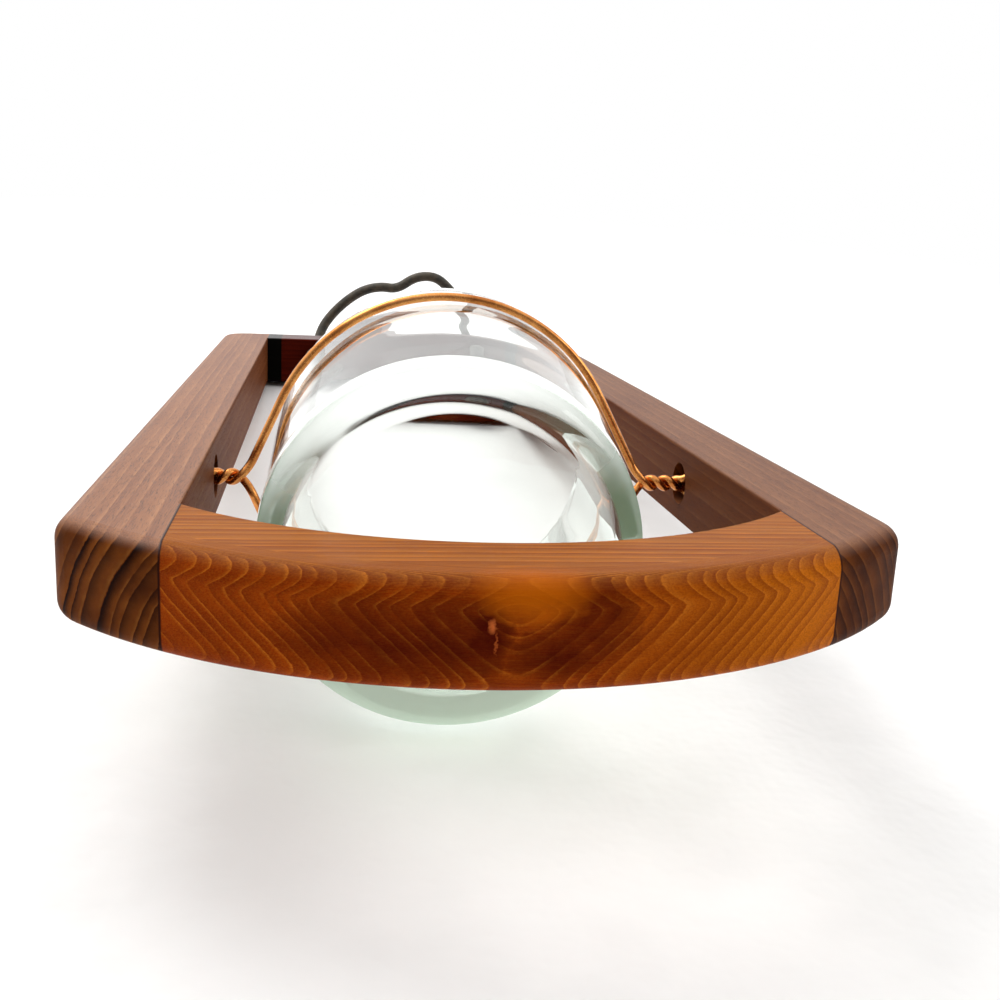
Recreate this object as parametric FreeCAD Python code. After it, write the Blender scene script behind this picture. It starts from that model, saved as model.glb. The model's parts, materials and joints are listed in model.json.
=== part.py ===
import FreeCAD, Part
import math
import os

V = FreeCAD.Vector

# Hanging propagation vase, lying as it is photographed: the hoop's lower wire
# and the lower edge of the frame's head rest on the table, the glass is level.
# Millimetres, +Z up, +Y from the foot of the frame to its head, origin on the
# table under the middle of the frame.

# wooden frame
board_thickness = 19.0
rail_width = 20.4
window_length = 305.0
hinge_to_foot = 66.0
foot_joint_depth = 29.6
foot_inner_bow = 25.0
foot_outer_bow = 17.5
head_depth = 22.0
spacer_width = 6.0
foot_corner_radius = 10.0
head_corner_radius = 12.0
outer_edge_radius = 4.0
window_edge_radius = 0.8

# dowels hidden in the corner joints
dowel_diameter = 8.0
dowel_seat_depth = 10.0
dowel_chamfer = 1.0
dowel_clearance = 0.08
dowel_end_gap = 0.5
foot_dowel_setback = 14.0

# blind bores in the rails that take the hoop's ends
anchor_bore = 10.6
anchor_depth = 8.0

# glass
glass_turn_degrees = 3.1
glass_radius_at_wire = 42.1
glass_heel_taper = 1.3
glass_rim_flare = 0.5
glass_foot_wall = 4.5
heel_to_wire = 45.0
wire_to_rim = 27.0
heel_radius = 5.5
bearing_width = 2.4
push_up_depth = 2.5
glass_wall = 3.2
glass_floor = 10.5
glass_floor_dome = 1.0
glass_floor_corner = 5.0

# copper hoop of two wires, twisted together on both sides of the glass
wire_diameter = 2.05
hoop_clearance = 0.55
hoop_lean_degrees = 11.0
twist_gap = 0.06
left_branch_gap = 3.925
right_branch_gap = 5.625
left_twist_length = 7.3
left_twist_quarters = 4
right_twist_length = 10.8
right_twist_quarters = 6
branch_length = 4.0
tail_reach = 5.2
tail_clearance = 0.09
tail_splay_degrees = 18.0

# leather lace through the head bar, held by a knot behind each hole
lace_diameter = 4.4
lace_bore_clearance = 0.15
lace_hole_spacing = 72.0
lace_start_length = 8.0
lace_end_length = 3.0
stopper_wraps = 2
wrap_pitch_share = 0.86
wrap_core_share = 1.45
soft_gap = 0.3

# one overrun for all cuts
overrun = 5.0

# worked out from the sizes above
wire_radius = wire_diameter / 2
strand_offset = (wire_diameter + twist_gap) / 2
hoop_radius = glass_radius_at_wire + hoop_clearance + wire_radius
hinge_height = hoop_radius + wire_radius
# leaning, the hoop is an oval that goes round the glass, of two side arcs and a crown arc
hoop_half_height = hoop_radius / math.cos(math.radians(hoop_lean_degrees))
hoop_side_radius = hoop_half_height ** 2 / hoop_radius
side_center_reach = hoop_side_radius - hoop_radius
hoop_crown_radius = ((hoop_side_radius ** 2 - side_center_reach ** 2 - hoop_half_height ** 2)
                     / (2 * (hoop_side_radius - hoop_half_height)))
left_room = left_branch_gap + left_twist_length
right_room = right_branch_gap + right_twist_length
window_width = left_room + 2 * hoop_radius + right_room
half_window = window_width / 2
glass_offset = left_room + hoop_radius - half_window
glass_radius_at_heel = glass_radius_at_wire - glass_heel_taper
glass_radius_at_rim = glass_radius_at_wire + glass_rim_flare
glass_cavity_radius = glass_radius_at_wire - glass_foot_wall
push_up_radius = glass_radius_at_heel - heel_radius - bearing_width
half_frame = half_window + rail_width
half_board = board_thickness / 2
foot_y = -hinge_to_foot
head_y = foot_y + window_length
head_back_y = head_y + head_depth
foot_outer_radius = (half_window ** 2 + foot_outer_bow ** 2) / (2 * foot_outer_bow)
foot_outer_center_y = foot_y - foot_joint_depth - foot_outer_bow + foot_outer_radius
foot_tip_y = foot_outer_center_y - foot_outer_radius
foot_side_y = foot_outer_center_y - math.sqrt(foot_outer_radius ** 2 - half_frame ** 2)

# the frame leans about the wire axis until its head's lower edge rests on the table
edge_reach = head_back_y - outer_edge_radius
edge_drop = half_board - outer_edge_radius
frame_lean = (math.asin((hinge_height - outer_edge_radius) / math.hypot(edge_reach, edge_drop))
              - math.atan2(edge_drop, edge_reach))
head_end_y = (edge_reach * math.cos(frame_lean) + edge_drop * math.sin(frame_lean)
              + outer_edge_radius)
foot_end_y = ((foot_tip_y + outer_edge_radius) * math.cos(frame_lean)
              - edge_drop * math.sin(frame_lean) - outer_edge_radius)
wire_axis = V(0, -(head_end_y + foot_end_y) / 2, hinge_height)

# The lace's route behind the head bar, chosen by hand: places from the point
# midway between its two exits, with X to the right, Y away and Z up.
lace_route = [
    (-36.3, 15.9, 2.2),
    (-34.0, 20.7, 8.8),
    (-28.9, 22.8, 15.4),
    (-22.4, 23.2, 21.6),
    (-15.0, 23.2, 26.6),
    (-6.8, 23.0, 28.6),
    (0.8, 22.8, 27.6),
    (9.2, 22.8, 33.9),
    (18.4, 22.7, 34.5),
    (24.8, 22.7, 29.8),
    (29.7, 22.6, 23.4),
    (33.6, 22.2, 16.6),
    (35.8, 20.4, 9.0),
    (36.3, 15.9, 2.2)]


def lean(shape):
    """Turn a shape of the flat frame about the wire axis, head end down."""
    turned = shape.copy()
    turned.rotate(V(0, 0, 0), V(1, 0, 0), -math.degrees(frame_lean))
    return turned


def lean_point(point):
    return lean(Part.Vertex(point)).Point


def board(outline):
    """A board as thick as the frame, its middle at the height of the wire axis."""
    face = Part.Face(outline)
    face.translate(V(0, 0, -half_board))
    return face.extrude(V(0, 0, board_thickness))


def slab(x_low, x_high, y_low, y_high):
    """A block that takes the frame's whole thickness between the given sides."""
    block = Part.makeBox(x_high - x_low, y_high - y_low, board_thickness + 2 * overrun)
    block.translate(V(x_low, y_low, -half_board - overrun))
    return block


def bar_outline(half_width, side_y, tip_y, far_y):
    """A rectangle from side_y to far_y whose near end bows out to tip_y."""
    near_left = V(-half_width, side_y, 0)
    near_right = V(half_width, side_y, 0)
    far_right = V(half_width, far_y, 0)
    far_left = V(-half_width, far_y, 0)
    return Part.Wire([
        Part.Arc(near_left, V(0, tip_y, 0), near_right).toShape(),
        Part.makeLine(near_right, far_right),
        Part.makeLine(far_right, far_left),
        Part.makeLine(far_left, near_left)])


def upright_edges(shape, y_low, y_high):
    found = []
    for edge in shape.Edges:
        box = edge.BoundBox
        if box.ZLength > half_board and y_low < box.Center.y < y_high:
            found.append(edge)
    return found


def level_edges(shape, half_width, y_low, y_high):
    """Edges of the two faces of the board that lie within the given sides."""
    found = []
    for edge in shape.Edges:
        box = edge.BoundBox
        inside = (abs(box.Center.x) + box.XLength / 2 < half_width
                  and box.YMin > y_low and box.YMax < y_high)
        if box.ZLength < outer_edge_radius / 2 and inside:
            found.append(edge)
    return found


def frame_ring():
    """The whole frame in one piece with its rounds, before it is cut at the joints."""
    ring = board(bar_outline(half_frame, foot_side_y, foot_tip_y, head_back_y))
    ring = ring.makeFillet(foot_corner_radius, upright_edges(ring, foot_tip_y, 0))
    ring = ring.makeFillet(head_corner_radius, upright_edges(ring, 0, head_back_y + overrun))
    around = (half_frame + overrun, foot_tip_y - overrun, head_back_y + overrun)
    ring = ring.makeFillet(outer_edge_radius, level_edges(ring, *around))
    ring = ring.cut(board(bar_outline(half_window, foot_y, foot_y - foot_inner_bow, head_y)))
    margin = outer_edge_radius / 2
    window = (half_window + margin, foot_y - foot_inner_bow - margin, head_y + margin)
    return ring.makeFillet(window_edge_radius, level_edges(ring, *window))


def bored(piece, radius, start, way, depth):
    return piece.cut(Part.makeCylinder(radius, depth, start, way))


def rail(ring, side):
    """A side rail with the blind bore for the hoop's end."""
    near = side * half_window
    far = side * (half_frame + overrun)
    piece = ring.common(slab(min(near, far), max(near, far),
                             foot_tip_y - overrun, head_back_y + overrun))
    mouth = V(side * (half_window - overrun), 0, 0)
    return bored(piece, anchor_bore / 2, mouth, V(side, 0, 0), anchor_depth + overrun)


def foot_bar(ring):
    return ring.common(slab(-half_window, half_window, foot_tip_y - overrun, 0))


def head_bar(ring):
    """The head bar between its spacers, drilled for the lace."""
    half_bar = half_window - spacer_width
    piece = ring.common(slab(-half_bar, half_bar, 0, head_back_y + overrun))
    bore = lace_diameter / 2 + lace_bore_clearance
    for side in (-1, 1):
        start = V(side * lace_hole_spacing / 2, head_y - overrun, 0)
        piece = bored(piece, bore, start, V(0, 1, 0), head_depth + 2 * overrun)
    return piece


def spacer(ring, side):
    near = side * (half_window - spacer_width)
    far = side * half_window
    return ring.common(slab(min(near, far), max(near, far), 0, head_back_y + overrun))


def dowel(side, y, bar_reach):
    """A chamfered peg, with the start, the way and the depth of the bore that takes it."""
    start = V(side * (half_window + dowel_seat_depth), y, 0)
    way = V(-side, 0, 0)
    depth = dowel_seat_depth + bar_reach
    peg = Part.makeCylinder(dowel_diameter / 2, depth - 2 * dowel_end_gap,
                            start + way * dowel_end_gap, way)
    rims = [edge for edge in peg.Edges if edge.BoundBox.XLength < dowel_end_gap]
    return peg.makeChamfer(dowel_chamfer, rims), (start, way, depth)


def shallow_arc(radius, height, y):
    """An arc from the axis at y + height out to radius at y, flat on the axis."""
    curve = (radius ** 2 + height ** 2) / (2 * height)
    middle_y = y + height - curve + math.sqrt(curve ** 2 - radius ** 2 / 4)
    return Part.Arc(V(0, y + height, 0), V(radius / 2, middle_y, 0), V(radius, y, 0)).toShape()


def quarter_arc(center, radius, degrees):
    """A quarter of a circle, beginning at the given direction."""
    points = []
    for turn in (0, 45, 90):
        angle = math.radians(degrees + turn)
        points.append(center + V(radius * math.cos(angle), radius * math.sin(angle), 0))
    return Part.Arc(*points).toShape(), points[0], points[2]


def glass_vessel():
    """A thick-based tumbler turned about its own axis, mouth towards the head bar."""
    base_y = -heel_to_wire - heel_radius
    floor_y = base_y + glass_floor
    lip = glass_wall / 2
    lip_y = wire_to_rim - lip
    inner_rim = glass_radius_at_rim - glass_wall
    heel, bearing, heel_top = quarter_arc(
        V(glass_radius_at_heel - heel_radius, -heel_to_wire, 0), heel_radius, -90)
    corner, floor_edge, wall_foot = quarter_arc(
        V(glass_cavity_radius - glass_floor_corner, floor_y + glass_floor_corner, 0),
        glass_floor_corner, -90)
    wire_level = V(glass_radius_at_wire, 0, 0)
    rim_outer = V(glass_radius_at_rim, lip_y, 0)
    rim_inner = V(inner_rim, lip_y, 0)
    edges = [
        shallow_arc(push_up_radius, push_up_depth, base_y),
        Part.makeLine(V(push_up_radius, base_y, 0), bearing),
        heel,
        Part.makeLine(heel_top, wire_level),
        Part.makeLine(wire_level, rim_outer),
        Part.Arc(rim_outer, V(glass_radius_at_rim - lip, wire_to_rim, 0), rim_inner).toShape(),
        Part.makeLine(rim_inner, wall_foot),
        corner,
        shallow_arc(floor_edge.x, glass_floor_dome, floor_y),
        Part.makeLine(V(0, floor_y + glass_floor_dome, 0), V(0, base_y + push_up_depth, 0))]
    vessel = Part.Face(Part.Wire(edges)).revolve(V(0, 0, 0), V(0, 1, 0), 360)
    vessel.rotate(V(0, 0, 0), V(0, 0, 1), -glass_turn_degrees)
    vessel.translate(V(glass_offset, 0, 0))
    return vessel


def arc_from_corner(start, corner, end):
    """The round arc that touches both legs of a corner, and its radius."""
    middle = (start + end) * 0.5
    leg = (corner - start).Length
    radius = leg * (start - middle).Length / (corner - middle).Length
    crown = corner + (middle - corner).normalize() * (math.hypot(leg, radius) - radius)
    return Part.Arc(start, crown, end).toShape(), radius


def biarc(start, start_way, end, end_way):
    """Two arcs that leave start along start_way and reach end along end_way."""
    a = V(start_way).normalize()
    b = V(end_way).normalize()
    span = end - start
    bend = 2 * (1 - a.dot(b))
    cross = 2 * span.dot(a + b)
    leg = (math.sqrt(cross ** 2 + 4 * bend * span.dot(span)) - cross) / (2 * bend)
    first = start + a * leg
    second = end - b * leg
    joint = (first + second) * 0.5
    arc_one, radius_one = arc_from_corner(start, first, joint)
    arc_two, radius_two = arc_from_corner(joint, second, end)
    return [arc_one, arc_two], min(radius_one, radius_two)


def strand_point(side, start_x, length, quarters, index):
    """Place and heading of the strand after so many quarter turns of the twist."""
    angle = index * math.pi / 2
    rate = quarters * math.pi / 2 / length
    place = V(side * (start_x + length * index / quarters),
              -strand_offset * math.sin(angle), strand_offset * math.cos(angle))
    way = V(side, -strand_offset * rate * math.cos(angle),
            -strand_offset * rate * math.sin(angle))
    return place, way


def hoop_side(side, length, quarters):
    """From the hoop's shoulder down its side, into the twist and out to the splayed tail."""
    branch_x = half_window - length
    center_x = glass_offset - side * side_center_reach
    reach = branch_x - side * center_x
    touch_angle = (math.atan2(strand_offset, reach)
                   + math.acos(hoop_side_radius / math.hypot(reach, strand_offset)))
    touch = V(center_x + side * hoop_side_radius * math.cos(touch_angle), 0,
              hoop_side_radius * math.sin(touch_angle))
    down = V(side * math.sin(touch_angle), 0, -math.cos(touch_angle))
    crown_angle = math.atan2(hoop_half_height - hoop_crown_radius, side_center_reach)
    shoulder, middle = (V(center_x + side * hoop_side_radius * math.cos(angle), 0,
                          hoop_side_radius * math.sin(angle))
                        for angle in (crown_angle, (touch_angle + crown_angle) / 2))

    bend_start = V(side * branch_x, 0, strand_offset) - down * branch_length
    knots = [strand_point(side, branch_x, length, quarters, index)
             for index in range(1, quarters + 1)]
    spans = [(bend_start, down) + knots[0]]
    spans += [before + after for before, after in zip(knots, knots[1:])]

    rise = math.copysign(1, knots[-1][0].z)
    splay = math.radians(tail_splay_degrees)
    tip = V(side * (half_window + tail_reach), 0,
            rise * (anchor_bore / 2 - tail_clearance - wire_radius * math.cos(splay)))
    tip_way = V(side * math.cos(splay), 0, rise * math.sin(splay))
    spans.append(knots[-1] + (tip, tip_way))

    edges = [Part.Arc(shoulder, middle, touch).toShape(), Part.makeLine(touch, bend_start)]
    radii = []
    for span in spans:
        arcs, radius = biarc(*span)
        edges += arcs
        radii.append(round(radius, 2))
    print("strand radii", "left" if side < 0 else "right", radii)
    return edges, shoulder, tip, tip_way


def hoop_path():
    """One wire: over the glass, with a strand of the twist and a tail at each end."""
    left, left_shoulder, tip, tip_way = hoop_side(-1, left_twist_length, left_twist_quarters)
    right, right_shoulder = hoop_side(1, right_twist_length, right_twist_quarters)[:2]
    crown = V(glass_offset, 0, hoop_half_height)
    over = Part.Arc(left_shoulder, crown, right_shoulder).toShape()
    return Part.Wire(left[::-1] + [over] + right), tip, tip_way


def tube(path, start, way, radius, name):
    """A round tube along a smooth path, with its volume compared with section by length."""
    profile = Part.Wire(Part.makeCircle(radius, start, way))
    solid = path.makePipeShell([profile], True, False)
    error = solid.Volume / (math.pi * radius ** 2 * path.Length) - 1
    print(name, "length", round(path.Length, 1), "volume error", round(error, 5))
    return solid


def hoop_wires():
    path, tip, tip_way = hoop_path()
    upper = tube(path, tip, tip_way, wire_radius, "hoop wire")
    upper.rotate(V(0, 0, 0), V(1, 0, 0), -hoop_lean_degrees)
    lower = upper.copy()
    lower.rotate(V(0, 0, 0), V(1, 0, 0), 180)
    other = path.copy()
    other.rotate(V(0, 0, 0), V(1, 0, 0), 180)
    print("least gap between strands", round(path.distToShape(other)[0] - wire_diameter, 3))
    return upper, lower


def lace_path():
    """The lace from end to end: straight through the bar, round the loop and back."""
    out = lean_point(V(0, 1, 0))
    root = lean_point(V(0, head_back_y, 0))
    half = V(lace_hole_spacing / 2, 0, 0)
    held = out * (head_depth + soft_gap + stopper_length() + lace_end_length)
    left_exit = root - half
    right_exit = root + half
    points = [left_exit, left_exit + out * lace_start_length]
    points += [root + V(*place) for place in lace_route]
    points += [right_exit + out * lace_start_length, right_exit]

    edges = [Part.makeLine(left_exit - held, left_exit)]
    here = left_exit
    radii = []
    for before, corner, after in zip(points, points[1:], points[2:]):
        back = before - corner
        ahead = after - corner
        leg = 0.45 * min(back.Length, ahead.Length)
        radii.append(round(leg / math.tan((math.pi - back.getAngle(ahead)) / 2), 1))
        start = corner + back.normalize() * leg
        end = corner + ahead.normalize() * leg
        edges.append(Part.makeLine(here, start))
        edges.append(arc_from_corner(start, corner, end)[0])
        here = end
    edges.append(Part.makeLine(here, right_exit))
    print("lace radii", radii)
    print("lace length between its exits", round(sum(edge.Length for edge in edges[1:]), 1))
    edges.append(Part.makeLine(right_exit, right_exit - held))
    return Part.Wire(edges), left_exit - held, out


def lace():
    path, start, way = lace_path()
    return tube(path, start, way, lace_diameter / 2, "lace")


def stopper_length():
    return lace_diameter * (1 + (stopper_wraps - 1) * wrap_pitch_share)


def lace_stopper(side):
    """A knot of the lace's own turns, drawn up against the inner face of the head bar."""
    turn = lace_diameter / 2
    pitch = lace_diameter * wrap_pitch_share
    middle = head_y - soft_gap - stopper_length() / 2
    center = V(side * lace_hole_spacing / 2, middle, 0)
    along = V(0, 1, 0)
    core_length = pitch * (stopper_wraps - 1)
    core = Part.makeCylinder(lace_diameter * wrap_core_share, core_length,
                             center - along * (core_length / 2), along)
    turns = []
    for index in range(stopper_wraps):
        place = center + along * (pitch * index - core_length / 2)
        turns.append(Part.makeTorus(lace_diameter, turn, place, along))
    knot = core.fuse(turns)
    length = stopper_length() + 2 * overrun
    return lean(bored(knot, turn, center - along * (length / 2), along, length))


def build():
    ring = frame_ring()
    pieces = {
        "left_rail": rail(ring, -1),
        "right_rail": rail(ring, 1),
        "foot_bar": foot_bar(ring),
        "head_bar": head_bar(ring),
        "left_spacer": spacer(ring, -1),
        "right_spacer": spacer(ring, 1)}

    bar_depth = foot_dowel_setback
    corners = [("foot", foot_y - bar_depth, dowel_seat_depth),
               ("head", head_y + head_depth / 2, spacer_width + dowel_seat_depth)]
    for side, word in ((-1, "left"), (1, "right")):
        for end, y, reach in corners:
            peg, (start, way, depth) = dowel(side, y, reach)
            bore = dowel_diameter / 2 + dowel_clearance
            for name in (word + "_rail", end + "_bar"):
                pieces[name] = bored(pieces[name], bore, start, way, depth)
            pieces[word + "_" + end + "_dowel"] = peg
        spacer_name = word + "_spacer"
        pieces[spacer_name] = bored(pieces[spacer_name], bore, start, way, depth)
    pieces = {name: lean(shape) for name, shape in pieces.items()}

    upper, lower = hoop_wires()
    pieces["upper_hoop_wire"] = upper
    pieces["lower_hoop_wire"] = lower
    pieces["glass_vessel"] = glass_vessel()
    pieces["lace"] = lace()
    pieces["left_lace_stopper"] = lace_stopper(-1)
    pieces["right_lace_stopper"] = lace_stopper(1)
    return pieces


os.makedirs("parts", exist_ok=True)
print("frame lean in degrees", round(math.degrees(frame_lean), 3))
print("wire axis at", [round(value, 3) for value in wire_axis])
for name, shape in build().items():
    shape.translate(wire_axis)
    if len(shape.Solids) != 1 or not shape.isValid():
        raise ValueError(name + " is not one valid solid")
    shape.Solids[0].exportStep("parts/" + name + ".step")
    box = shape.BoundBox
    print(name, round(shape.Volume), [round(value, 1) for value in (
        box.XMin, box.XMax, box.YMin, box.YMax, box.ZMin, box.ZMax)])
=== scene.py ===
import json
import math

import bpy
import numpy as np
from mathutils import Matrix, Vector


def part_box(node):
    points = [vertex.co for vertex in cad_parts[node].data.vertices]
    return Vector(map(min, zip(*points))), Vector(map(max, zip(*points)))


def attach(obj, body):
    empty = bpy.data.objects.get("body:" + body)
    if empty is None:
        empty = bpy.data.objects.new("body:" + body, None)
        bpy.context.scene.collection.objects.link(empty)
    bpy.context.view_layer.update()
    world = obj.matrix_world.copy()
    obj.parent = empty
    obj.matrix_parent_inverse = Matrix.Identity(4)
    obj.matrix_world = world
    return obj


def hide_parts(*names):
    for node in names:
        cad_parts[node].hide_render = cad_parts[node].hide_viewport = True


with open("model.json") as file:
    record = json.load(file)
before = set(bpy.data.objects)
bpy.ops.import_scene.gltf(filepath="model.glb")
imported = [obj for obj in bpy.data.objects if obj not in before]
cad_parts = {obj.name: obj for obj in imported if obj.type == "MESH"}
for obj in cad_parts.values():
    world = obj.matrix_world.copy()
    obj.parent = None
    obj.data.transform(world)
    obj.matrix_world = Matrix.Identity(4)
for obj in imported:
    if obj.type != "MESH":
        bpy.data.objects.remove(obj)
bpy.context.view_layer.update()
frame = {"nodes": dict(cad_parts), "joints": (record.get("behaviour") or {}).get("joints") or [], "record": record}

nodes = frame["nodes"]
record = frame["record"]

mm = 0.001  # a millimetre in the scene's metres

# places read from the frame
hinge = Vector(frame["joints"][0]["pos_m"])
glassAxis = Vector(record["behaviour"]["joints"][1]["axis"])
backMount = [mount for mount in record["mounts"] if mount["name"] == "frame_back"][0]
frameLean = math.asin(-backMount["axis"][1])
lean = Matrix.Rotation(-frameLean, 3, "X")


# Add a shader node, set its properties, and fill or link its inputs.
def put(tree, kind, inputs=None, **settings):
    node = tree.nodes.new("ShaderNode" + kind)
    for name, value in settings.items():
        setattr(node, name, value)
    fill(tree, node, inputs or {})
    return node


def fill(tree, node, inputs):
    for key, value in inputs.items():
        if isinstance(value, bpy.types.NodeSocket):
            tree.links.new(value, node.inputs[key])
        else:
            node.inputs[key].default_value = value


def math2(tree, operation, a, b=0.0, clamp=False):
    return put(tree, "Math", {0: a, 1: b}, operation=operation, use_clamp=clamp).outputs[0]


# a x + b y, of plain numbers a and b.
def blend2(tree, a, x, b, y):
    return math2(tree, "ADD", math2(tree, "MULTIPLY", x, a), math2(tree, "MULTIPLY", y, b))


def mixFloat(tree, factor, a, b):
    change = math2(tree, "MULTIPLY", math2(tree, "SUBTRACT", b, a), factor)
    return math2(tree, "ADD", a, change)


def mixColour(tree, factor, a, b):
    node = put(tree, "Mix", data_type="RGBA")
    fill(tree, node, {0: factor, 6: a, 7: b})
    return node.outputs[2]


# The colour a, with a (strength, colour) stain laid over it where the factor is 1.
def tint(tree, factor, a, stain):
    strength, colour = stain
    return mixColour(tree, math2(tree, "MULTIPLY", factor, strength), a, colour)


# A grey ramp with a (place, value) pair for each stop.
def ramp(tree, factor, *stops):
    node = put(tree, "ValToRGB", {0: factor})
    elements = node.color_ramp.elements
    while len(elements) < len(stops):
        elements.new(0.5)
    for element, (place, value) in zip(elements, stops):
        element.position = place
        element.color = (value, value, value, 1)
    return node.outputs[0]


def mapRange(tree, value, low, high, toLow=0.0, toHigh=1.0):
    return put(tree, "MapRange", {"Value": value, "From Min": low, "From Max": high,
                                  "To Min": toLow, "To Max": toHigh}).outputs[0]


# A colour given as on a screen, 0 to 255, as the shader's linear colour.
def srgb(red, green, blue):
    linear = []
    for value in (red, green, blue):
        share = value / 255
        linear.append(share / 12.92 if share <= 0.04045 else ((share + 0.055) / 1.055) ** 2.4)
    return (*linear, 1)


# A node group with the given (name, socket kind, default) inputs and (name, kind) outputs.
def newGroup(name, inputs, outputs):
    tree = bpy.data.node_groups.new(name, "ShaderNodeTree")
    for label, kind, value in inputs:
        socket = tree.interface.new_socket(label, in_out="INPUT", socket_type="NodeSocket" + kind)
        if value is not None:
            socket.default_value = value
    for label, kind in outputs:
        tree.interface.new_socket(label, in_out="OUTPUT", socket_type="NodeSocket" + kind)
    return tree, tree.nodes.new("NodeGroupInput").outputs, tree.nodes.new("NodeGroupOutput").inputs


def use(tree, group, inputs):
    node = tree.nodes.new("ShaderNodeGroup")
    node.node_tree = group
    fill(tree, node, inputs)
    return node.outputs


def newMaterial(name):
    material = bpy.data.materials.new(name)
    material.use_nodes = True
    tree = material.node_tree
    tree.nodes.clear()
    return material, tree


def finishMaterial(tree, surface, volume=None):
    out = tree.nodes.new("ShaderNodeOutputMaterial")
    tree.links.new(surface, out.inputs["Surface"])
    if volume is not None:
        tree.links.new(volume, out.inputs["Volume"])


def separate(tree, vector):
    return put(tree, "SeparateXYZ", {0: vector}).outputs


def combine(tree, x, y, z):
    return put(tree, "CombineXYZ", {0: x, 1: y, 2: z}).outputs[0]


def noise(tree, vector, scale, detail=3.0, roughness=0.55):
    return put(tree, "TexNoise", {"Vector": vector, "Scale": scale, "Detail": detail,
                                  "Roughness": roughness}).outputs["Fac"]


# Noise less its middle, so that it sways to both sides.
def sway(tree, vector, scale, detail):
    return math2(tree, "SUBTRACT", noise(tree, vector, scale, detail), 0.5)


def objectPlace(tree):
    return put(tree, "TexCoord").outputs["Object"]


# Places in the flat frame in millimetres: X across, Y from foot to head, Z through the board.
def frameSpaceGroup():
    tree, source, target = newGroup("frameSpace", [], [("Place", "Vector"), ("Normal", "Vector")])
    moved = put(tree, "VectorMath", {0: objectPlace(tree), 1: hinge}, operation="SUBTRACT").outputs[0]
    turned = put(tree, "VectorRotate", {"Vector": moved, "Angle": frameLean},
                 rotation_type="X_AXIS").outputs[0]
    scaled = put(tree, "VectorMath", {0: turned, "Scale": 1 / mm}, operation="SCALE").outputs[0]
    tree.links.new(scaled, target["Place"])
    normal = put(tree, "NewGeometry").outputs["Normal"]
    facing = put(tree, "VectorRotate", {"Vector": normal, "Angle": frameLean},
                 rotation_type="X_AXIS").outputs[0]
    tree.links.new(facing, target["Normal"])
    return tree


# Growth rings from a layer depth in millimetres, with fibres along Y of the given place. Edge is
# the pale line where a ring begins, Ring is 0 in the pale early wood and 1 in the dark late wood,
# Streak is broad colour drift, Fibre and Pore are the fine figure that the light catches.
def woodGroup():
    tree, source, target = newGroup(
        "woodFigure",
        [("Depth", "Float", 0.0), ("Place", "Vector", None), ("Spacing", "Float", 2.0),
         ("Waver", "Float", 0.6), ("Seed", "Float", 0.0)],
        [("Ring", "Float"), ("Edge", "Float"), ("Streak", "Float"), ("Fibre", "Float"),
         ("Pore", "Float")])
    x, y, z = separate(tree, source["Place"])[:3]
    seed = source["Seed"]

    def along(stretch):
        return combine(tree, math2(tree, "ADD", x, seed), math2(tree, "MULTIPLY", y, stretch), z)

    reach = math2(tree, "MULTIPLY", source["Waver"], 8.0)
    waver = math2(tree, "MULTIPLY", sway(tree, along(0.12), 0.11, 2.0), reach)
    ragged = sway(tree, along(0.06), 1.4, 3.0)
    depth = math2(tree, "ADD", source["Depth"], blend2(tree, 1.0, waver, 0.35, ragged))
    turns = math2(tree, "DIVIDE", depth, source["Spacing"])
    uneven = noise(tree, combine(tree, turns, seed, 0.0), 0.35, 1.0)
    turns = blend2(tree, 1.0, turns, 2.2, uneven)
    year = math2(tree, "FRACT", turns)
    late = ramp(tree, year, (0.0, 0.1), (0.3, 0.2), (0.75, 0.8), (0.95, 1.0), (1.0, 0.1))
    strength = noise(tree, combine(tree, math2(tree, "FLOOR", turns), seed, 3.0), 0.73, 0.0)
    tree.links.new(math2(tree, "MULTIPLY", late, math2(tree, "ADD", strength, 0.4), clamp=True),
                   target["Ring"])
    pale = ramp(tree, year, (0.0, 0.0), (0.03, 1.0), (0.12, 0.5), (0.25, 0.0))
    patchy = ramp(tree, noise(tree, along(0.4), 0.22, 2.0), (0.35, 0.0), (0.6, 1.0))
    tree.links.new(math2(tree, "MULTIPLY", pale, patchy), target["Edge"])
    tree.links.new(noise(tree, along(0.10), 0.16, 3.0), target["Streak"])
    tree.links.new(noise(tree, along(0.03), 5.5, 3.0, 0.7), target["Fibre"])
    pores = noise(tree, along(0.045), 9.0, 1.0, 0.5)
    tree.links.new(ramp(tree, pores, (0.0, 1.0), (0.34, 1.0), (0.40, 0.0), (1.0, 0.0)),
                   target["Pore"])
    return tree


frameSpace = frameSpaceGroup()
woodFigure = woodGroup()

# oil on all the wood: "lit" is how far up a face looks when its sheen begins and is full
oil = {
    "shine": 0.012,
    "sheenRoughness": 0.38,
    "lit": (0.55, 0.95),
    "polished": 0.08,
    "dull": 0.12,
    "grainDepth": 0.15}


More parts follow.
